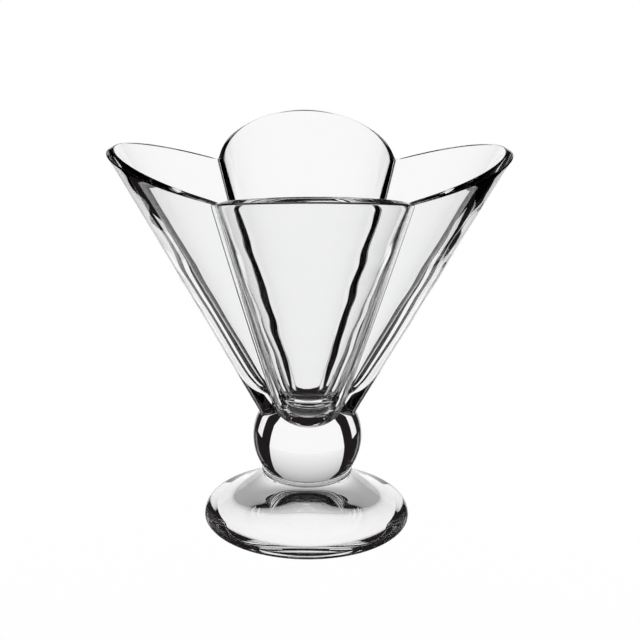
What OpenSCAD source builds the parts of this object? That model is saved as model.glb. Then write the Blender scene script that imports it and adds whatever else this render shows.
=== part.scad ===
// Footed dessert glass: a flared bowl of petals on a solid ball stem and a round foot.
// The axis is +Z. The origin is on the axis, in the plane that the foot stands on.

/* [Bowl] */
// Number of petals round the bowl
petals = 4; // [3:1:6]
// Distance across the bowl, from petal tip to petal tip, on the outside
tip_span = 130.4; // [115:0.2:145]
// Height of the outer edge of a petal tip
tip_h = 127.6; // [112:0.1:142]
// Distance across the bowl at the rim, from valley to valley, on the outside
valley_span = 86.6; // [80:0.2:94]
// How far the rim dips below the tips, at the valleys between the petals
rim_dip = 9.9; // [5:0.1:16]
// Wall of a petal at its tip
rim_wall = 3; // [2.2:0.1:4]
// Wall of a petal beside the neck
base_wall = 5.2; // [4:0.1:7]
// Glass from a valley outside to its ridge inside, at the rim
valley_wall = 5; // [4:0.1:7]
// Glass between the neck and the lowest point of the hollow
floor_wall = 2.2; // [1.8:0.1:5]
// Radius of the hollow's rounded floor
floor_r = 21; // [20:0.5:30]
// Height at which the cone of a petal's outside would come to a point
petal_apex_h = 1.2; // [-5:0.1:8]
// Height at which the cone of a petal's inside would come to a point
hollow_apex_h = 26; // [22:0.1:28]
// How far the ridges inside are cut back, so that none is a knife edge
ridge_blunt = 0.7; // [0.4:0.1:1.2]

/* [Ball stem] */
// Diameter of the ball
ball_d = 36.7; // [34:0.1:40]
// How much of the ball's height is cut off flat at its top, where the bowl is joined on
ball_top_cut = 9.5; // [7:0.1:12]
// How much of the ball's height is cut off flat at its foot, where it stands on the collar
ball_foot_cut = 7.4; // [5:0.1:10]

/* [Collar] */
// How far the collar's rounded edge stands out round the ball's flat foot
collar_proud = 0.6; // [0.3:0.1:4]
// Height of the collar
collar_h = 1.8; // [1.2:0.1:3]

/* [Foot] */
// Diameter of the foot, at the widest part of its edge
foot_d = 69.8; // [62:0.2:80]
// Height of the foot, up to the collar
foot_h = 17.2; // [14:0.1:22]
// How far the edge of the foot's flat top lies inside the collar's edge
foot_top_inset = 0.8; // [0.3:0.1:3]
// Height at which the foot's edge is widest, and the radius of the edge below that
edge_low_r = 1.7; // [1.2:0.1:2.5]
// Radius of the foot's edge above its widest part
edge_top_r = 4; // [3:0.1:6]
// Slope of the foot's upper side where its sweep runs into the edge
edge_slope = 22; // [15:1:30]
// Radius of the hollow sweep of the foot's upper side
foot_sweep_r = 45; // [35:1:80]
// Width of the flat ring that the foot stands on
rest_w = 4.2; // [2:0.1:7]
// Slope of the wide cone that is hollowed out under the foot
punt_slope = 17; // [14:1:24]
// Radius of the rounded top of that cone
punt_crown_r = 30; // [20:1:50]

/* [Hidden] */
$fn = 96;
glass_colour = [0.86, 0.92, 0.93, 0.45];
// How far a cutting shape runs past what it cuts
past = 10;

// Radii and heights of the stem, from the table up
foot_r = foot_d / 2;
ball_r = ball_d / 2;
ball_seat_r = sqrt(ball_foot_cut * (ball_d - ball_foot_cut));
neck_r = sqrt(ball_top_cut * (ball_d - ball_top_cut));
collar_r = ball_seat_r + collar_proud;
collar_edge_r = collar_h / 2;
foot_top_r = collar_r - foot_top_inset;
ball_seat_h = foot_h + collar_h;
ball_h = ball_seat_h + ball_r - ball_foot_cut;
neck_h = ball_h + ball_r - ball_top_cut;

// The foot's sweep is an arc from the edge of its top to the upper round of its edge.
edge_x = foot_r - edge_top_r;
sweep_top = [foot_top_r, foot_h];
sweep_end = [edge_x + edge_top_r * sin(edge_slope), edge_low_r + edge_top_r * cos(edge_slope)];
sweep_chord = sweep_end - sweep_top;
sweep_half = norm(sweep_chord) / 2;
sweep_normal = [-sweep_chord.y, sweep_chord.x] / norm(sweep_chord);
sweep_centre = (sweep_top + sweep_end) / 2 + sweep_normal * sqrt(pow(foot_sweep_r, 2) - pow(sweep_half, 2));

// The hollow under the foot is a cone from the flat ring inwards. Its crown is part of a ball that
// fits the cone. The ball is set a little high, so that it cuts the cone cleanly and doesn't only touch it.
crown_bite = 0.05;
punt_edge_r = foot_r - edge_low_r - rest_w;
crown_r = punt_crown_r * sin(punt_slope);
crown_h = (punt_edge_r - crown_r) * tan(punt_slope);
crown_centre_h = crown_h - punt_crown_r * cos(punt_slope) + crown_bite;

// Half of the angle that one petal takes, and the end of its rim at a valley, on the outside
petal_half = 180 / petals;
tip_r = tip_span / 2;
valley_r = valley_span / 2;
valley_h = tip_h - rim_dip;
valley_end = [valley_r * cos(petal_half), valley_r * sin(petal_half), valley_h];

// Outside, each petal is a cone. Its middle line runs straight from the neck to the tip.
tip_lean = atan((tip_r - neck_r) / (tip_h - neck_h));
petal_apex = [neck_r + (petal_apex_h - neck_h) * tan(tip_lean), 0, petal_apex_h];

// Inside, each petal is a cone of the same kind, set in by the walls.
hollow_tip_r = tip_r - rim_wall / cos(tip_lean);
hollow_neck_r = neck_r - base_wall / cos(tip_lean);
hollow_lean = atan((hollow_tip_r - hollow_neck_r) / (tip_h - neck_h));
hollow_apex = [hollow_neck_r + (hollow_apex_h - neck_h) * tan(hollow_lean), 0, hollow_apex_h];
ridge_r = valley_r - valley_wall;
ridge_end = [ridge_r * cos(petal_half), ridge_r * sin(petal_half), valley_h];
ridge_lean = atan(ridge_r / (valley_h - hollow_apex_h));
floor_h = neck_h + floor_wall;

// The rim's face is part of an upright flat cone over each petal. It is square to the wall at the tip,
// and passes through the tip and both valley ends.
rim_slope = tip_lean;
rim_reach = tip_r + (tip_h - valley_h) / tan(rim_slope);
rim_x = (pow(rim_reach, 2) - pow(valley_r, 2)) / (2 * (rim_reach - valley_end.x));
rim_apex_h = tip_h + (tip_r - rim_x) * tan(rim_slope);

// Lean of a petal cone's own axis, for a middle line that leans by tip and a surface through end
function cone_lean(apex, tip, end) =
    let (way = (end - apex) / norm(end - apex))
    atan((way.z - cos(tip)) / (sin(tip) - way.x));

// A cone with its circles started on the side towards the glass's axis, where no petal uses it
module turned_cone(h, r1, r2) {
    rotate(180)
        cylinder(h = h, r1 = r1, r2 = r2);
}

// One petal's cone, from bottom up past the rim
module petal_cone(apex, tip, end, bottom) {
    lean = cone_lean(apex, tip, end);
    spread = tip - lean;
    start = (bottom - apex.z) / 2;
    reach = (tip_h + past - apex.z) * cos(spread) / cos(tip);
    translate(apex)
        rotate([0, lean, 0])
            translate([0, 0, start])
                turned_cone(h = reach - start, r1 = start * tan(spread), r2 = reach * tan(spread));
}

// The slice of the bowl that one petal takes, from the neck up
module petal_slice() {
    slice_y = tip_span * tan(petal_half);
    translate([0, 0, neck_h])
        linear_extrude(height = tip_h)
            polygon([[0, 0], [tip_span, -slice_y], [tip_span, slice_y]]);
}

// All that lies under one petal's rim
module under_rim() {
    translate([rim_x, 0, 0])
        turned_cone(h = rim_apex_h, r1 = rim_apex_h / tan(rim_slope), r2 = 0);
}

// The hollow of one petal: its cone, the core that cuts back the ridges, and the rounded floor
module petal_hollow() {
    bed_h = floor_h + floor_r * 0.6;
    core_h = tip_h + past - hollow_apex_h;
    difference() {
        union() {
            petal_cone(hollow_apex, hollow_lean, ridge_end, floor_h);
            translate([0, 0, hollow_apex_h])
                cylinder(h = core_h, r1 = ridge_blunt, r2 = core_h * tan(ridge_lean) + ridge_blunt);
        }
        difference() {
            cylinder(h = bed_h, r = tip_r);
            translate([0, 0, floor_h + floor_r])
                sphere(r = floor_r);
        }
    }
}

module ball() {
    translate([0, 0, ball_h])
        sphere(r = ball_r);
}

// One petal, with the crown of the ball between it and the next
module petal() {
    difference() {
        intersection() {
            union() {
                petal_cone(petal_apex, tip_lean, valley_end, neck_h);
                ball();
            }
            petal_slice();
            under_rim();
        }
        petal_hollow();
    }
}

module bowl() {
    color(glass_colour)
        for (i = [0 : petals - 1])
            rotate([0, 0, i * 2 * petal_half])
                petal();
}

module ball_stem() {
    color(glass_colour)
        intersection() {
            ball();
            translate([0, 0, ball_seat_h])
                cylinder(h = neck_h - ball_seat_h, r = ball_d);
        }
}

module collar() {
    color(glass_colour)
        translate([0, 0, foot_h])
            rotate_extrude() {
                square([collar_r - collar_edge_r, collar_h]);
                intersection() {
                    translate([collar_r - collar_edge_r, collar_edge_r])
                        circle(r = collar_edge_r);
                    square([collar_r, collar_h]);
                }
            }
}

// Half of the section of the hollow under the foot, from below the table up
module punt_half() {
    polygon([[0, -past], [punt_edge_r + past / tan(punt_slope), -past], [crown_r, crown_h], [0, crown_h]]);
    translate([0, crown_centre_h])
        circle(r = punt_crown_r);
}

// Half of the foot's section, from the axis outwards
module foot_half() {
    difference() {
        union() {
            translate([foot_r - edge_low_r, edge_low_r])
                circle(r = edge_low_r);
            intersection() {
                translate([edge_x, edge_low_r])
                    circle(r = edge_top_r);
                translate([0, edge_low_r])
                    square([foot_r, edge_top_r]);
            }
            square([foot_r - edge_low_r, edge_low_r]);
            square([sweep_end.x, foot_h]);
        }
        translate(sweep_centre)
            circle(r = foot_sweep_r);
        punt_half();
    }
}

module foot() {
    color(glass_colour)
        rotate_extrude()
            foot_half();
}

foot();
collar();
ball_stem();
bowl();
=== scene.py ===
# %% [markdown]
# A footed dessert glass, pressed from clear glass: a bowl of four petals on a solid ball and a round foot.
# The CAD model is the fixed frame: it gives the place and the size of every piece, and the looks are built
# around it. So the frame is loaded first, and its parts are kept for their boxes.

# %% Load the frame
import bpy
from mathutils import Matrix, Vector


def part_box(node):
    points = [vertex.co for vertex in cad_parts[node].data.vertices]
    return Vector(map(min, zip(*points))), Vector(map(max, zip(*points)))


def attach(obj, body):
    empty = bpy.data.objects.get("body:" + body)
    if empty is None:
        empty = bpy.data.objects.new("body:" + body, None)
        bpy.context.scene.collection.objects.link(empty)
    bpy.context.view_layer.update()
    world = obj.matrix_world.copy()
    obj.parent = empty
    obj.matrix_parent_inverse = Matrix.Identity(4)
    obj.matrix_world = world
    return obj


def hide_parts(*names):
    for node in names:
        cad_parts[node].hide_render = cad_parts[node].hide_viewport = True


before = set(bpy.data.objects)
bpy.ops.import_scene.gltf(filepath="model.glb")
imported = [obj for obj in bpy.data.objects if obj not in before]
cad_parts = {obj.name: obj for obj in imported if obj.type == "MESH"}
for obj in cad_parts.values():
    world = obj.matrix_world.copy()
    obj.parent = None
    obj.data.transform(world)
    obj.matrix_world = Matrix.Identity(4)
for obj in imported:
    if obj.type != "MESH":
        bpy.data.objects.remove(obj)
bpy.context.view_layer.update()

# %% [markdown]
# All shapes are worked out in millimetres, and turned into metres when a mesh is made. The stem's sizes could
# be typed in again, but then they could drift from the CAD model. So what the frame knows is read from its
# boxes: how wide the foot, collar and bowl are, and the heights at which the pieces meet. The ball is cut
# flat at both ends, so its diameter is given, and its middle follows from the face that it stands on.

# %% Sizes of the stem
import math

import bpy
import numpy as np

MM = 0.001
HIGH = 1
BALL_D, BALL_FOOT_CUT = 36.7, 7.4


def size_mm(node, axis):
    """Upper end of a CAD node's box along one axis, in millimetres."""
    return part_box(node)[HIGH][axis] / MM


foot_r, foot_h = size_mm("foot", 0), size_mm("foot", 2)
collar_r, seat_h = size_mm("collar", 0), size_mm("collar", 2)
neck_h = size_mm("ball_stem", 2)
tip_r = size_mm("bowl", 0)
ball_r = BALL_D / 2
ball_h = seat_h + ball_r - BALL_FOOT_CUT
neck_r = math.sqrt(ball_r**2 - (neck_h - ball_h) ** 2)
print("heights in mm: foot", round(foot_h, 2), "seat", round(seat_h, 2), "neck", round(neck_h, 2))

# %% [markdown]
# The bowl is thin at the rim, and thicker beside the neck and at the valleys between the petals. Its outside,
# its rim and the walls of its petals have the CAD model's sizes. Two things inside are different, because
# they decide how the glass bends light: towards the rim the ridges are up to 2 mm thinner, and the cup at the
# bottom is tighter and nearly 4 mm deeper.

# %% Sizes of the bowl
PETALS = 4
PETAL_HALF = math.pi / PETALS
TIP_H, RIM_DIP = 127.6, 9.9
VALLEY_SPAN = 86.6
RIM_WALL, BASE_WALL, VALLEY_WALL = 3.0, 5.2, 4.2
PETAL_APEX_H, HOLLOW_APEX_H = 1.2, 26.0
CUP_RISE, CUP_R = 0.5, 14.0
valley_r, valley_h = VALLEY_SPAN / 2, TIP_H - RIM_DIP
ridge_r = valley_r - VALLEY_WALL
cup_h = neck_h + CUP_RISE
tip_lean = math.atan2(tip_r - neck_r, TIP_H - neck_h)
print("a petal leans out by", round(math.degrees(tip_lean), 1), "degrees")

# %% [markdown]
# A pressed petal is a plain cone, outside and inside, because the plunger has to draw straight out of the
# mould. Two neighbouring cones meet in a valley outside and in a ridge inside. The petals could be cut from
# cone meshes with booleans, but those leave sharp and ragged joins, so the cones are kept as formulas. Each
# is found from three things: the height of its apex, its middle line from neck to tip, and the point where it
# meets its neighbour at the rim. The outer one aims a little inside the valley, since the rounding there adds
# glass again.

# %% Petal cones
VALLEY_SOFT = 3.0


def cone_through(apex_h, low_point, tip_point, end_r, end_h):
    """Apex x, apex height, axis lean and half angle of a petal's cone."""
    middle_lean = math.atan2(tip_point[0] - low_point[0], tip_point[1] - low_point[1])
    apex_x = low_point[0] + (apex_h - low_point[1]) * math.tan(middle_lean)
    way = np.array([end_r * math.cos(PETAL_HALF) - apex_x, end_r * math.sin(PETAL_HALF), end_h - apex_h])
    way /= np.linalg.norm(way)
    lean = math.atan2(way[2] - math.cos(middle_lean), math.sin(middle_lean) - way[0])
    return apex_x, apex_h, lean, middle_lean - lean


outer_low, outer_tip = (neck_r, neck_h), (tip_r, TIP_H)
inner_low = (neck_r - BASE_WALL / math.cos(tip_lean), neck_h)
inner_tip = (tip_r - RIM_WALL / math.cos(tip_lean), TIP_H)
outer_cone = cone_through(PETAL_APEX_H, outer_low, outer_tip, valley_r - VALLEY_SOFT / 2, valley_h)
inner_cone = cone_through(HOLLOW_APEX_H, inner_low, inner_tip, ridge_r, valley_h)
print("outer cone", np.round(outer_cone, 3), "inner cone", np.round(inner_cone, 3))

# %% [markdown]
# The outside is read as a radius at a given height, because it stands steep everywhere. The inside is read as
# a height over a point of the plan, because it ends in a floor. Both come from one equation: the angle
# between the cone's axis and the line from its apex to the point equals the cone's half angle.

# %% Reading a cone
TINY = 1e-6


def cone_radius(cone, angle, height):
    """Distance from the glass's axis to a petal's cone, at an angle from the petal's middle."""
    apex_x, apex_h, lean, half = cone
    turn_cos, lean_sin, lean_cos, spread = np.cos(angle), math.sin(lean), math.cos(lean), math.cos(half) ** 2
    rise = height - apex_h
    a = (turn_cos * lean_sin) ** 2 - spread
    b = 2 * turn_cos * (lean_sin * lean_cos * rise - apex_x * lean_sin**2 + spread * apex_x)
    along = rise * lean_cos - apex_x * lean_sin
    c = along**2 - spread * (apex_x**2 + rise**2)
    return (-b - np.sqrt(np.maximum(b * b - 4 * a * c, 0))) / (2 * a)


def cone_height(cone, x, y):
    """Height of a petal's cone over a point of the petal's own plan."""
    apex_x, apex_h, lean, half = cone
    lean_sin, lean_cos, spread = math.sin(lean), math.cos(lean), math.cos(half) ** 2
    out = x - apex_x
    a = lean_cos**2 - spread
    b = 2 * out * lean_sin * lean_cos
    c = (out * lean_sin) ** 2 - spread * (out**2 + y**2)
    return apex_h - 2 * c / np.maximum(b + np.sqrt(np.maximum(b * b - 4 * a * c, 0)), TINY)


print("outside at half height, on a petal:", round(float(cone_radius(outer_cone, 0.0, TIP_H / 2)), 2), "mm")

# %% [markdown]
# Hot glass has no knife edges. A bevel could round them on a finished mesh, but the valleys are wide at the
# rim and fine at the neck. A soft maximum or minimum of two surfaces rounds their join over any width, so it
# can follow the taper. Every point of the bowl looks at the nearest petal's cone and at the next nearest's.

# %% Soft joins


def soft_max(a, b, width):
    """The larger of two values, rounded over a width where they cross."""
    return (a + b + np.sqrt((a - b) ** 2 + width**2)) / 2


def soft_min(a, b, width):
    """The smaller of two values, rounded in the same way."""
    return -soft_max(-a, -b, width)


def petal_angles(azimuth):
    """Angle from the nearest petal's middle, and from the next nearest's."""
    own = np.abs(np.mod(azimuth + PETAL_HALF, 2 * PETAL_HALF) - PETAL_HALF)
    return own, 2 * PETAL_HALF - own


print("a corner softened by", VALLEY_SOFT, "mm stands out by", soft_max(0.0, 0.0, VALLEY_SOFT), "mm")

# %% [markdown]
# Outside, the petals run down into the crown of the ball. The valleys fade with the taper, so that they are
# wide at the rim and fine at the neck, as the mould leaves them. Petals and ball could be joined by remeshing
# them together, but that blurs both, so the same soft maximum joins them as well.

# %% Outside of the bowl
NECK_SOFT = 0.5
LEAST_TAPER = 0.1


def ball_radius(height):
    """Distance from the glass's axis to the ball."""
    return np.sqrt(np.maximum(ball_r**2 - (height - ball_h) ** 2, 0))


def outside_radius(azimuth, height):
    """Distance from the glass's axis to the outside of the petals or the ball."""
    own, other = petal_angles(azimuth)
    taper = np.maximum((height - PETAL_APEX_H) / (valley_h - PETAL_APEX_H), LEAST_TAPER)
    lobes = soft_max(
        cone_radius(outer_cone, own, height), cone_radius(outer_cone, other, height), VALLEY_SOFT * taper
    )
    return soft_max(lobes, ball_radius(height), NECK_SOFT)


rim_valley = float(outside_radius(np.array(PETAL_HALF), valley_h))
print("valley at the rim:", round(rim_valley, 2), "mm from the axis")

# %% [markdown]
# Inside, the ridges are rounder than the valleys, because the plunger's grooves wear. A ball scooped out of
# the bottom would leave a sharp ring there. So the walls run into the cup with a wide fillet, and a soft dip
# is taken off round the axis. Much solid glass stays beside the neck, which reads as the two black wedges
# there, and the cup itself reads as the dark spot at the bottom of the bowl. The dip brings the floor 1.5 mm
# below the neck, so close to the axis the bowl's mesh crosses its joint with the ball. The joint lets light
# straight through, so the render shows one solid glass with a deep cup, but the bowl's own mesh isn't clean
# there.

# %% Inside of the bowl
RIDGE_SOFT, RIDGE_SPARE = 8.0, 1.0
FLOOR_SOFT, DIP_SPREAD = 5.0, 9.0
CUP_SHARE = 0.9


def hollow_height(azimuth, radius):
    """Height of the bowl's inside over a point of the plan."""
    own, other = petal_angles(azimuth)
    wall = soft_min(
        cone_height(inner_cone, radius * np.cos(own), radius * np.sin(own)),
        cone_height(inner_cone, radius * np.cos(other), radius * np.sin(other)),
        RIDGE_SOFT * np.maximum(radius / ridge_r, LEAST_TAPER),
    )
    ridge_line = HOLLOW_APEX_H + radius * (valley_h - HOLLOW_APEX_H) / ridge_r
    wall = np.minimum(wall, ridge_line + RIDGE_SPARE)
    cup = cup_h + CUP_R - np.sqrt(CUP_R**2 - np.minimum(radius, CUP_R * CUP_SHARE) ** 2)
    dip = FLOOR_SOFT / 2 * np.exp(-((radius / DIP_SPREAD) ** 2))
    return soft_max(wall, cup, FLOOR_SOFT) - dip


print("floor over the neck:", round(float(hollow_height(np.array(0.0), np.array(0.0))) - neck_h, 2), "mm")

# %% [markdown]
# The scalloped rim arches over each petal and dips between them. It could be drawn as a curve, point by
# point. One flat cone over each petal gives the same line with fewer numbers: it is square to the wall at the
# tip, and passes through the tip and both valley ends.

# %% Rim
RIM_SOFT = 1.2
rim_reach = tip_r + (TIP_H - valley_h) / math.tan(tip_lean)
rim_x = (rim_reach**2 - valley_r**2) / (2 * (rim_reach - valley_r * math.cos(PETAL_HALF)))
rim_apex_h = TIP_H + (tip_r - rim_x) * math.tan(tip_lean)


def rim_height(azimuth, radius):
    """Height of the rim's face over a point of the plan."""
    slopes = [
        rim_apex_h - math.tan(tip_lean) * np.hypot(radius * np.cos(angle) - rim_x, radius * np.sin(angle))
        for angle in petal_angles(azimuth)
    ]
    return soft_max(*slopes, RIM_SOFT)


print("the rim's cone stands", round(rim_x, 1), "mm out and is", round(rim_apex_h, 1), "mm high")

# %% [markdown]
# The bowl is a stack of rings, with the same stations round the axis in each. Even stations would need to be
# very many, so they crowd together at the valleys, where the shape turns sharply, and lie wider apart on the
# petals.

# %% Stations round the axis
PETAL_STEPS = 96
VALLEY_CROWDING = 0.72
share = np.arange(PETAL_STEPS) / PETAL_STEPS * 2 - 1
petal_stations = PETAL_HALF * (share + VALLEY_CROWDING * np.sin(math.pi * share) / math.pi)
azimuths = np.concatenate([petal_stations + 2 * PETAL_HALF * i for i in range(PETALS)])


def ring_points(radius, height):
    """One ring of points, from a radius and a height for each station or for all."""
    radius, height = np.broadcast_to(radius, azimuths.shape), np.broadcast_to(height, azimuths.shape)
    return np.stack([radius * np.cos(azimuths), radius * np.sin(azimuths), height], axis=-1)


print("stations round the axis:", len(azimuths))

# %% [markdown]
# The two edges of the rim are where its face cuts the outside and the inside. No plain formula gives them, so
# they are found by halving a span again and again, at every station, as pairs of a radius and a height.

# %% Edges of the rim
HALVINGS = 50
RIM_LOW, RIM_HIGH = 90, 150
INNER_SHARE = 0.3


def find_edge(glass_left, low, high):
    """Where what is left up to the rim's face falls to zero, at each station, by halving."""
    for _ in range(HALVINGS):
        middle = (low + high) / 2
        inside = glass_left(middle) > 0
        low, high = np.where(inside, middle, low), np.where(inside, high, middle)
    return (low + high) / 2


level = np.ones_like(azimuths)
edge_h = find_edge(
    lambda z: rim_height(azimuths, outside_radius(azimuths, z)) - z, level * RIM_LOW, level * RIM_HIGH
)
edge_out = outside_radius(azimuths, edge_h)
edge_in = find_edge(
    lambda r: rim_height(azimuths, r) - hollow_height(azimuths, r), edge_out * INNER_SHARE, edge_out
)
outer_edge = np.stack([edge_out, edge_h], -1)
inner_edge = np.stack([edge_in, hollow_height(azimuths, edge_in)], -1)
print("rim between", round(float(edge_h.min()), 1), "and", round(float(edge_h.max()), 1), "mm high")

# %% [markdown]
# To round an edge, the ways that lead off from it are needed: down the outside, across the rim's face and
# down the inside. The slopes of the formulas would give them too, but it is simpler to measure them on the
# surfaces, a little below the edge.

# %% Ways off the edges
DROP = 2.5


def unit(vectors):
    """The same directions, with a length of one."""
    return vectors / np.linalg.norm(vectors, axis=-1, keepdims=True)


low_out = outside_radius(azimuths, edge_h - DROP)
low_in = edge_in - DROP * math.tan(tip_lean)
down_out = unit(np.stack([low_out, edge_h - DROP], -1) - outer_edge)
down_in = unit(np.stack([low_in, hollow_height(azimuths, low_in)], -1) - inner_edge)
across = unit(inner_edge - outer_edge)
face_width = np.linalg.norm(outer_edge - inner_edge, axis=-1)
print("the rim's face is", round(float(face_width.min()), 2), "mm wide at least")

# %% [markdown]
# After pressing, the rim is melted for a moment in a flame, which rounds its two edges. A bevel modifier
# could do this, but it would also touch the soft valleys. So each edge gets an arc that leaves one face and
# lands on the other.

# %% Fire-polished edges
ROUND_STEPS = 8
EDGE_ROUND = 0.5


def corner_round(corner, way_a, way_b, radius):
    """Points of a rounded corner, from the side of way_a to the side of way_b."""
    half = np.arccos(np.clip((way_a * way_b).sum(-1), -1, 1)) / 2
    run = (radius / np.tan(half))[:, None]
    centre = corner + unit(way_a + way_b) * (radius / np.sin(half))[:, None]
    first, last = corner + way_a * run - centre, corner + way_b * run - centre
    sweep = (math.pi - 2 * half)[:, None]
    return [
        centre + (first * np.sin((1 - t) * sweep) + last * np.sin(t * sweep)) / np.sin(sweep)
        for t in np.linspace(0, 1, ROUND_STEPS)
    ]


outer_round = corner_round(outer_edge, down_out, across, EDGE_ROUND)
inner_round = corner_round(inner_edge, -across, down_in, EDGE_ROUND)
print("edges rounded by", EDGE_ROUND, "mm in", ROUND_STEPS, "steps")

# %% [markdown]
# The rings go up the outside from the neck, over the rounded rim, and down the inside to the floor. Fewer
# rings and a subdivision modifier would be lighter, but it shifts the surface, and clear glass shows every
# shift. So the rings are many, and closer together near the neck and the floor, where the glass bends most.
# The first ones inside are lifted to the rounded edge, and the lift fades quickly further down.

# %% Rings of the bowl
OUTER_STEPS, OUTER_CROWDING = 70, 1.3
INNER_STEPS, INNER_CROWDING = 80, 1.25
LIFT_FADE = 6
bowl_rings = []
for t in np.linspace(0, 1, OUTER_STEPS, endpoint=False) ** OUTER_CROWDING:
    height = neck_h + (outer_round[0][:, 1] - neck_h) * t
    bowl_rings.append(ring_points(outside_radius(azimuths, height), height))
for points in outer_round + inner_round:
    bowl_rings.append(ring_points(points[:, 0], points[:, 1]))
top_r, top_h = inner_round[-1].T
lift = top_h - hollow_height(azimuths, top_r)
for t in np.linspace(1, 0, INNER_STEPS, endpoint=False)[1:] ** INNER_CROWDING:
    bowl_rings.append(ring_points(top_r * t, hollow_height(azimuths, top_r * t) + lift * t**LIFT_FADE))
print("bowl: rings", len(bowl_rings))

# %% [markdown]
# The ball is the stem: a solid ball of glass that the gaffer sets on a thin ring, the collar. A UV sphere
# would have its own points, which don't fit the bowl's. So the ball is a stack of rings as well, read from
# the same outside as the bowl, and its top blends into the petals. The collar has a round edge.

# %% Ball and collar
BALL_STEPS, COLLAR_STEPS = 48, 17
low_angle, high_angle = (math.asin((h - ball_h) / ball_r) for h in (seat_h, neck_h))
collar_edge = (seat_h - foot_h) / 2
joint_r = collar_r - collar_edge
ball_rings = [ring_points(joint_r, seat_h)]
for angle in np.linspace(low_angle, high_angle, BALL_STEPS):
    height = ball_h + ball_r * math.sin(angle)
    ball_rings.append(ring_points(outside_radius(azimuths, height), height))
collar_rings = []
for angle in np.linspace(-math.pi / 2, math.pi / 2, COLLAR_STEPS):
    height = foot_h + collar_edge * (1 + math.sin(angle))
    collar_rings.append(ring_points(joint_r + collar_edge * math.cos(angle), height))
print("ball: rings", len(ball_rings), "collar: rings", len(collar_rings))

# %% [markdown]
# The foot is one turned section. A Bezier curve with a Screw modifier could draw it, but such curves only
# come near to a true arc. So it is written as straight parts and arcs, the same as in the CAD model, cut into
# short steps, because long flat steps would bend the light wrongly.

# %% Parts of the foot's section
FOOT_STEP = 0.35
LEAST_LINE, LEAST_ARC = 2, 8


def foot_line(start, end):
    """Points along a straight part of the section, without its last point."""
    start, end = np.array(start), np.array(end)
    count = max(LEAST_LINE, math.ceil(np.linalg.norm(end - start) / FOOT_STEP))
    return [tuple(start + (end - start) * t) for t in np.linspace(0, 1, count, endpoint=False)]


def foot_arc(centre, radius, first, last):
    """Points along a round part of the section, without its last point."""
    count = max(LEAST_ARC, math.ceil(abs(last - first) * radius / FOOT_STEP))
    angles = np.linspace(first, last, count, endpoint=False)
    return [(centre[0] + radius * math.cos(a), centre[1] + radius * math.sin(a)) for a in angles]


print("steps of", FOOT_STEP, "mm")

# %% [markdown]
# The foot's upper side sweeps down from the collar, hollow like a trumpet's mouth, and runs into an edge that
# is widest low down. A plain cone would come near, but the light runs differently along a hollow side. So the
# sweep is one arc through both ends, with its centre above the foot.

# %% Upper side of the foot
EDGE_LOW, EDGE_TOP, EDGE_SLOPE = 1.7, 4.0, math.radians(22)
SWEEP_R = 45.0
TOP_INSET = 0.8
edge_x = foot_r - EDGE_TOP
sweep_top = np.array([collar_r - TOP_INSET, foot_h])
sweep_end = np.array([edge_x + EDGE_TOP * math.sin(EDGE_SLOPE), EDGE_LOW + EDGE_TOP * math.cos(EDGE_SLOPE)])
chord = sweep_end - sweep_top
chord_len = np.linalg.norm(chord)
normal = np.array([-chord[1], chord[0]]) / chord_len
sweep_centre = (sweep_top + sweep_end) / 2 + normal * math.sqrt(SWEEP_R**2 - (chord_len / 2) ** 2)
sweep_angles = [math.atan2(p[1] - sweep_centre[1], p[0] - sweep_centre[0]) for p in (sweep_top, sweep_end)]
foot_profile = foot_line((joint_r, foot_h), sweep_top)
foot_profile += foot_arc(sweep_centre, SWEEP_R, *sweep_angles)
foot_profile += foot_arc((edge_x, EDGE_LOW), EDGE_TOP, math.pi / 2 - EDGE_SLOPE, 0)
foot_profile += foot_arc((foot_r - EDGE_LOW, EDGE_LOW), EDGE_LOW, 0, -math.pi / 2)
print("upper side of the foot:", len(foot_profile), "points")

# %% [markdown]
# Under the foot lies a wide low cone with a rounded crown, so that the glass stands on a flat ring and
# doesn't rock. It isn't seen itself, and a flat bottom would be simpler, but the hollow shows as the dark arc
# across the foot, and in the streaks of the foot's edge. The section stops just short of the axis, where a
# fan of faces closes it.

# %% Under side of the foot
REST_W = 4.2
HEEL = 0.7
PUNT_SLOPE, CROWN_R = math.radians(17), 30.0
AXIS_GAP = 0.01
punt_x = foot_r - EDGE_LOW - REST_W
heel_x = punt_x + HEEL * math.tan(PUNT_SLOPE / 2)
heel_end = (heel_x - HEEL * math.sin(PUNT_SLOPE), HEEL - HEEL * math.cos(PUNT_SLOPE))
crown_x = CROWN_R * math.sin(PUNT_SLOPE)
crown_h = (punt_x - crown_x) * math.tan(PUNT_SLOPE)
crown_centre = (0.0, crown_h - CROWN_R * math.cos(PUNT_SLOPE))
foot_profile += foot_line((foot_r - EDGE_LOW, 0), (heel_x, 0))
foot_profile += foot_arc((heel_x, HEEL), HEEL, -math.pi / 2, -math.pi / 2 - PUNT_SLOPE)
foot_profile += foot_line(heel_end, (crown_x, crown_h))
foot_profile += foot_arc(crown_centre, CROWN_R, math.pi / 2 - PUNT_SLOPE, math.pi / 2 - AXIS_GAP)
foot_rings = [ring_points(radius, height) for radius, height in reversed(foot_profile)]
print("foot: rings", len(foot_rings), "hollow", round(crown_centre[1] + CROWN_R, 2), "mm deep")

# %% [markdown]
# The skin of a piece joins ring to ring, and a fan of faces closes each end. The Screw modifier makes such a
# skin too, but only for turned shapes, and the bowl isn't one, so the faces are listed here. All rings run
# upwards on the outside, which turns the faces outwards, as the glass shader needs them.

# %% Skin of a piece


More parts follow.
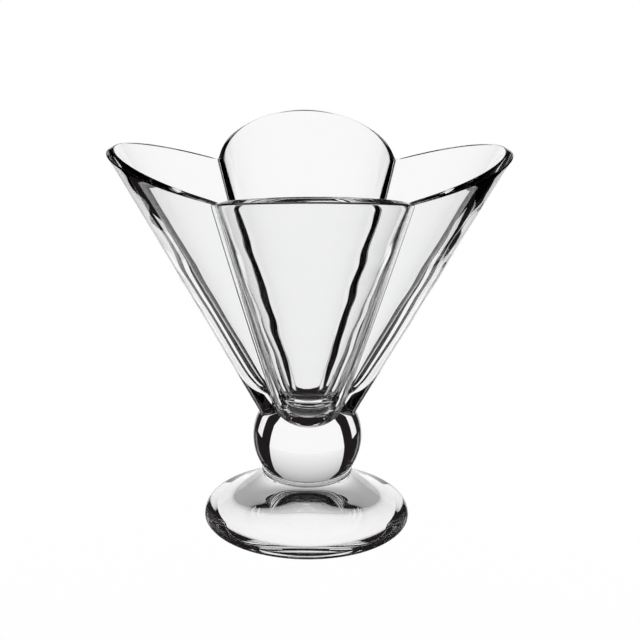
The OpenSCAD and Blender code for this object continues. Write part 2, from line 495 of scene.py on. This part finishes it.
def ring_faces(count, around, start, end):
    """Faces between the rings, and the two fans that close the ends."""
    i, j = np.meshgrid(np.arange(count - 1) * around, np.arange(around), indexing="ij")
    after = (j + 1) % around
    last = (count - 1) * around
    faces = np.stack([i + j, i + after, i + around + after, i + around + j], -1).reshape(-1, 4).tolist()
    faces += [[start, (k + 1) % around, k] for k in range(around)]
    faces += [[end, last + k, last + (k + 1) % around] for k in range(around)]
    return faces


def mark_sharp(mesh, first_points, around):
    """Mark the edges of the rings that start at these points as sharp."""
    sharp = {
        frozenset((first + k, first + (k + 1) % around)) for first in first_points for k in range(around)
    }
    for edge in mesh.edges:
        edge.use_edge_sharp = frozenset(edge.vertices) in sharp


ball_skin = ring_faces(len(ball_rings), len(azimuths), 0, 0)
print("the ball's skin takes", len(ball_skin), "faces")

# %% [markdown]
# The glass is four pieces, each a closed mesh. One mesh for all would be simpler, but each visible piece
# stands for one CAD node. The two flags say whether a piece's first and last fan is a joint with the next
# piece: the foot's first ring lies in its own hollow, and the bowl's last ring on its floor. A joint's faces
# take the second material, and its edge is sharp, so that the smooth shading stops there.

# %% The four pieces
scene = bpy.context.scene


def glass_piece(name, rings, start_joint, end_joint):
    """A closed mesh from rings of points, from the lowest outside up."""
    rings = np.asarray(rings)
    count, around = rings.shape[:2]
    last = (count - 1) * around
    centres = [[0, 0, rings[0, :, 2].mean()], [0, 0, rings[-1, :, 2].mean()]]
    vertices = np.vstack([rings.reshape(-1, 3), centres]) * MM
    faces = ring_faces(count, around, count * around, count * around + 1)
    slots = [0] * last + [int(start_joint)] * around + [int(end_joint)] * around
    mesh = bpy.data.meshes.new(name)
    mesh.from_pydata(vertices.tolist(), [], faces)
    mesh.polygons.foreach_set("use_smooth", [True] * len(faces))
    mesh.polygons.foreach_set("material_index", slots)
    mark_sharp(mesh, [first for first, is_joint in ((0, start_joint), (last, end_joint)) if is_joint], around)
    mesh.update()
    piece = bpy.data.objects.new(name, mesh)
    scene.collection.objects.link(piece)
    print(name, "has", len(mesh.vertices), "points and", len(mesh.polygons), "faces")
    return piece


pieces = {
    "bowl": glass_piece("petal_bowl", bowl_rings, True, False),
    "ball_stem": glass_piece("ball_stem_glass", ball_rings, True, True),
    "collar": glass_piece("collar_glass", collar_rings, True, True),
    "foot": glass_piece("foot_glass", foot_rings, False, True),
}

# %% [markdown]
# Clear soda-lime glass has hardly any colour: what shows is the light that it bends. The Glass shader would
# do, but the Principled one also has a tint for its reflections. Against the photo's white ground they are
# faint, so that tint holds them down. A slow noise varies the glass's own tint a little from place to place.

# %% Clear glass
GLASS_VALUES = {
    "Roughness": 0.0,
    "IOR": 1.52,
    "Transmission Weight": 1.0,
    "Specular Tint": (0.4, 0.4, 0.4, 1),
}
PALE, CLEAR = (0.962, 0.966, 0.966, 1), (0.985, 0.985, 0.985, 1)
TINT_SCALE = 18.0


def add_node(tree, kind, **values):
    """A new shader node with some of its inputs set. An underscore stands for a space in an input's name."""
    made = tree.nodes.new(kind)
    for key, value in values.items():
        made.inputs[key.replace("_", " ")].default_value = value
    return made


glass = bpy.data.materials.new("clear_glass")
glass.use_nodes = True
glass_tree = glass.node_tree
bsdf = glass_tree.nodes["Principled BSDF"]
for key, value in GLASS_VALUES.items():
    bsdf.inputs[key].default_value = value
place = glass_tree.nodes.new("ShaderNodeTexCoord")
tint_noise = add_node(glass_tree, "ShaderNodeTexNoise", Scale=TINT_SCALE, Detail=1.0)
tint = glass_tree.nodes.new("ShaderNodeValToRGB")
tint.color_ramp.elements[0].color, tint.color_ramp.elements[1].color = PALE, CLEAR
glass_tree.links.new(place.outputs["Object"], tint_noise.inputs["Vector"])
glass_tree.links.new(tint_noise.outputs["Fac"], tint.inputs["Fac"])
glass_tree.links.new(tint.outputs["Color"], bsdf.inputs["Base Color"])
print("glass with an index of", round(bsdf.inputs["IOR"].default_value, 2))

# %% [markdown]
# Pressed glass isn't quite even: the mould's cool walls leave a ripple. It is plainest on the bowl, where it
# makes the dark lines wavy, and faint on the ball and the foot, which were reheated. It is far too shallow to
# see as a shape, so it is a bump in the material, and the bump's strength follows the height.

# %% Ripple
RIPPLE = 0.00013
RIPPLE_SCALE = 80.0
STEM_RIPPLE = 0.25
RIPPLE_FADE = 14.0
ripple_noise = add_node(glass_tree, "ShaderNodeTexNoise", Scale=RIPPLE_SCALE, Detail=0.0)
ripple = add_node(glass_tree, "ShaderNodeBump", Distance=RIPPLE)
place_parts = glass_tree.nodes.new("ShaderNodeSeparateXYZ")
fade_ends = {"From_Min": neck_h * MM, "From_Max": (neck_h + RIPPLE_FADE) * MM, "To_Min": STEM_RIPPLE}
ripple_fade = add_node(glass_tree, "ShaderNodeMapRange", **fade_ends)
glass_tree.links.new(place.outputs["Object"], ripple_noise.inputs["Vector"])
glass_tree.links.new(place.outputs["Object"], place_parts.inputs["Vector"])
glass_tree.links.new(place_parts.outputs["Z"], ripple_fade.inputs["Value"])
glass_tree.links.new(ripple_fade.outputs["Result"], ripple.inputs["Strength"])
glass_tree.links.new(ripple_noise.outputs["Fac"], ripple.inputs["Height"])
glass_tree.links.new(ripple.outputs["Normal"], bsdf.inputs["Normal"])
print("ripple of", round(RIPPLE / MM, 3), "mm on the bowl")

# %% [markdown]
# In the real glass nothing shows where foot, collar, ball and bowl were joined hot. One joined mesh would
# show nothing either, but each piece has to stay an object of its own. So the faces between two pieces let
# light straight through, as if the glass went on.

# %% Hot joint
joint = bpy.data.materials.new("hot_joint")
joint.use_nodes = True
joint_tree = joint.node_tree
joint_tree.nodes.remove(joint_tree.nodes["Principled BSDF"])
clear = joint_tree.nodes.new("ShaderNodeBsdfTransparent")
joint_tree.links.new(clear.outputs[0], joint_tree.nodes["Material Output"].inputs["Surface"])
print("materials:", glass.name, joint.name)

# %% [markdown]
# All four pieces are of the same glass, so they share both materials: the glass first, the joint second. Each
# takes the place of its CAD node, and all ride on the one rigid body, because nothing on this glass moves.

# %% Finish of the pieces
for cad_node, piece in pieces.items():
    piece.data.materials.append(glass)
    piece.data.materials.append(joint)
    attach(piece, "root")
    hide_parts(cad_node)
print("pieces:", ", ".join(piece.name for piece in pieces.values()))

# %% [markdown]
# The camera stands half a metre in front of the glass and looks a little down on it, as in the photo. It
# could be aimed by eye, but then no line would fall quite where it should. So its place, its lens and its
# slight roll were fitted to the outlines of the rim, the ball and the foot.

# %% Camera
from mathutils import Euler, Vector

TURN, PITCH, ROLL = (math.radians(angle) for angle in (-2.493, 18.529, 0.75))
SENSOR, LENS = 36, 92.5
CAMERA_SPOT = (3.763, -515.909, 243.871)
camera_data = bpy.data.cameras.new("camera")
camera_data.sensor_width = SENSOR
camera_data.lens = LENS
camera = bpy.data.objects.new("camera", camera_data)
scene.collection.objects.link(camera)
scene.camera = camera
spot = Vector(CAMERA_SPOT) * MM
spot.rotate(Euler((0, 0, TURN)))
camera.location = spot
look = Euler((math.pi / 2 - PITCH, 0, TURN)).to_matrix() @ Euler((0, 0, ROLL)).to_matrix()
camera.rotation_euler = look.to_euler()
print("camera at", [round(v, 3) for v in camera.location], "m")

# %% [markdown]
# Clear glass is photographed against a bright field: a white ground behind it, and dark all round that, so
# that every edge of the glass turns dark. What stands round the glass is plain and matt, so that it adds no
# gloss of its own. The ground is pale paper, and the plain Standard view keeps its white as it is.

# %% Matt paper
PAPER = 0.8


def matt(name, color):
    """A plain matt material for the studio."""
    material = bpy.data.materials.new(name)
    material.use_nodes = True
    shader = material.node_tree.nodes["Principled BSDF"]
    for key, value in {"Base Color": (*color, 1), "Roughness": 1.0, "Specular IOR Level": 0.0}.items():
        shader.inputs[key].default_value = value
    return material


scene.view_settings.view_transform = "Standard"
paper = matt("pale_paper", (PAPER, PAPER, PAPER))
print("material:", paper.name)

# %% [markdown]
# More light would make the paper white, but the glass would be lit too strongly as well. So the paper is
# topped up to just white where the camera looks at it, and where it is seen in the glass. The Light Path node
# tells these rays from the others.

# %% White where it is seen


def seen_directly(tree, with_camera):
    """A value of 1 for rays that come from the glass, and from the camera too if that is asked for."""
    path = tree.nodes.new("ShaderNodeLightPath")
    names = ["Is Glossy Ray", "Is Transmission Ray"] + (["Is Camera Ray"] if with_camera else [])
    total = path.outputs[names[0]]
    for name in names[1:]:
        most = tree.nodes.new("ShaderNodeMath")
        most.operation = "MAXIMUM"
        tree.links.new(total, most.inputs[0])
        tree.links.new(path.outputs[name], most.inputs[1])
        total = most.outputs[0]
    return total


paper_tree = paper.node_tree
paper_shader = paper_tree.nodes["Principled BSDF"]
top_up = paper_tree.nodes.new("ShaderNodeMath")
top_up.operation = "MULTIPLY"
top_up.inputs[1].default_value = 1 - PAPER
paper_shader.inputs["Emission Color"].default_value = (1, 1, 1, 1)
paper_tree.links.new(seen_directly(paper_tree, True), top_up.inputs[0])
paper_tree.links.new(top_up.outputs[0], paper_shader.inputs["Emission Strength"])
print("paper topped up by", round(top_up.inputs[1].default_value, 2))

# %% [markdown]
# The floor is a round sheet of that paper, well below the glass, which stands as if on a clear shelf: so the
# foot is bright from below, and no shadow touches it. A plane would do as well, but a round sheet has no
# corners to show in the glass.

# %% Floor
FLOOR_H, FLOOR_R, FLOOR_SIDES = -0.23, 1.7, 96


def stage_mesh(name, points, faces, material):
    """A piece of the studio, which isn't part of the glass."""
    mesh = bpy.data.meshes.new(name)
    mesh.from_pydata(points, [], faces)
    mesh.materials.append(material)
    made = bpy.data.objects.new(name, mesh)
    scene.collection.objects.link(made)
    return made


turns = np.linspace(0, 2 * math.pi, FLOOR_SIDES, endpoint=False)
floor_points = [(FLOOR_R * math.cos(a), FLOOR_R * math.sin(a), FLOOR_H) for a in turns]
floor = stage_mesh("floor", floor_points, [list(range(FLOOR_SIDES))], paper)
print(floor.name, "at", FLOOR_H, "m, radius", FLOOR_R, "m")

# %% [markdown]
# The light is an even white from all round, at a strength of 1, as in a light tent. Lamps would show as spots
# in the glass, so the world alone gives it. Seen in the glass, it fades upwards, the way a studio does above
# the lit ground. The Mix node has inputs for numbers, vectors and colours under the same names, so its colour
# inputs are picked by their number.

# %% Light
FADE_LOW, FADE_HIGH = math.radians(-12), math.radians(28)
DIM = 0.42
COLOR_A, COLOR_B, COLOR_OUT = 6, 7, 2
world = bpy.data.worlds.new("studio")
scene.world = world
world.use_nodes = True
world_tree = world.node_tree
ground = world_tree.nodes["Background"]
ground.inputs["Strength"].default_value = 1.0
way = world_tree.nodes.new("ShaderNodeTexCoord")
way_parts = world_tree.nodes.new("ShaderNodeSeparateXYZ")
dim_ends = {"From_Min": math.sin(FADE_LOW), "From_Max": math.sin(FADE_HIGH), "To_Min": 1.0, "To_Max": DIM}
dimming = add_node(world_tree, "ShaderNodeMapRange", **dim_ends)
pick = world_tree.nodes.new("ShaderNodeMix")
pick.data_type = "RGBA"
pick.inputs[COLOR_A].default_value = (1, 1, 1, 1)
world_tree.links.new(way.outputs["Generated"], way_parts.inputs["Vector"])
world_tree.links.new(way_parts.outputs["Z"], dimming.inputs["Value"])
world_tree.links.new(seen_directly(world_tree, False), pick.inputs["Factor"])
world_tree.links.new(dimming.outputs["Result"], pick.inputs[COLOR_B])
world_tree.links.new(pick.outputs[COLOR_OUT], ground.inputs["Color"])
print("world strength", ground.inputs["Strength"].default_value)

# %% [markdown]
# Black cards draw the dark edges of the glass. A picture of a studio could do this too, but cards are easy to
# move. They make a short tunnel, from behind the camera to a window just behind the glass. The window's
# outline is given as one half, from the bottom up, and mirrored. It is round at the bottom, because the ball
# shows it upside down as its bright spot, and that is round at the top. Behind the camera the tunnel stands
# taller.

# %% Window in the cards
BACK_RISE = 1.8
half_window = [(0.09, -0.205), (0.15, -0.13), (0.168, -0.03), (0.168, 0.12), (0.09, 0.215)]
window = half_window + [(-x, z) for x, z in reversed(half_window)]
behind = [(x, z * BACK_RISE if z > 0 else z) for x, z in window]
window_w = 2 * max(x for x, z in window)
window_tall = half_window[-1][1] - half_window[0][1]
print("window of", round(window_w, 3), "m by", round(window_tall, 3), "m")

# %% [markdown]
# A narrow slot low on each side of the tunnel lets in some light from there, which draws the thin bright
# lines along the flanks and the ridges. So the tunnel has three bands of cards from the window back, and the
# middle band lacks the cards of the slots. The last card closes the tunnel behind the camera.

# %% Tunnel of cards
WINDOW_Y, BACK_Y = 0.28, -0.64
SLOT_Y, SLOT_SIDES = (0.18, 0.12), (0, 1, 7, 8)
sides = len(window)
corners, card_faces = [], []
for band, y in enumerate((WINDOW_Y, *SLOT_Y, BACK_Y)):
    depth = (WINDOW_Y - y) / (WINDOW_Y - BACK_Y)
    corners += [(x, y, z + (back_z - z) * depth) for (x, z), (_, back_z) in zip(window, behind)]
    for k in range(sides):
        if y != BACK_Y and not (y == SLOT_Y[0] and k in SLOT_SIDES):
            first, second = band * sides + k, band * sides + (k + 1) % sides
            card_faces.append([first, second, second + sides, first + sides])
card_faces.append(list(range(len(corners) - sides, len(corners))))
print("cards:", len(card_faces))

# %% [markdown]
# The cards are seen only in the glass: the camera doesn't see them, they cast no shadow, and they take no
# part in the light on matt things. They are fixed to the camera, so every view of the glass has them.

# %% Black cards
BLACK = (0.0168, 0.0137, 0.0144)
cards = stage_mesh("black_cards", corners, card_faces, matt("black_card", BLACK))
cards.visible_camera = cards.visible_diffuse = cards.visible_shadow = False
cards.rotation_euler = (0, 0, TURN)
bpy.context.view_layer.update()
cards.parent = camera
cards.matrix_parent_inverse = camera.matrix_world.inverted()

# %% [markdown]
# Light crosses many glass faces here. With Blender's own limits, paths would end in the glass and leave black
# spots, so they are allowed to be longer. Those that are reflected again and again inside the glass end
# sooner, which keeps the edges as dark as in the photo.

# %% Light paths
scene.cycles.max_bounces = 24
scene.cycles.transmission_bounces = 24
scene.cycles.glossy_bounces = 12
scene.cycles.transparent_max_bounces = 32
scene.cycles.diffuse_bounces = 3
print("at most", scene.cycles.max_bounces, "bounces,", scene.cycles.glossy_bounces, "of them reflections")
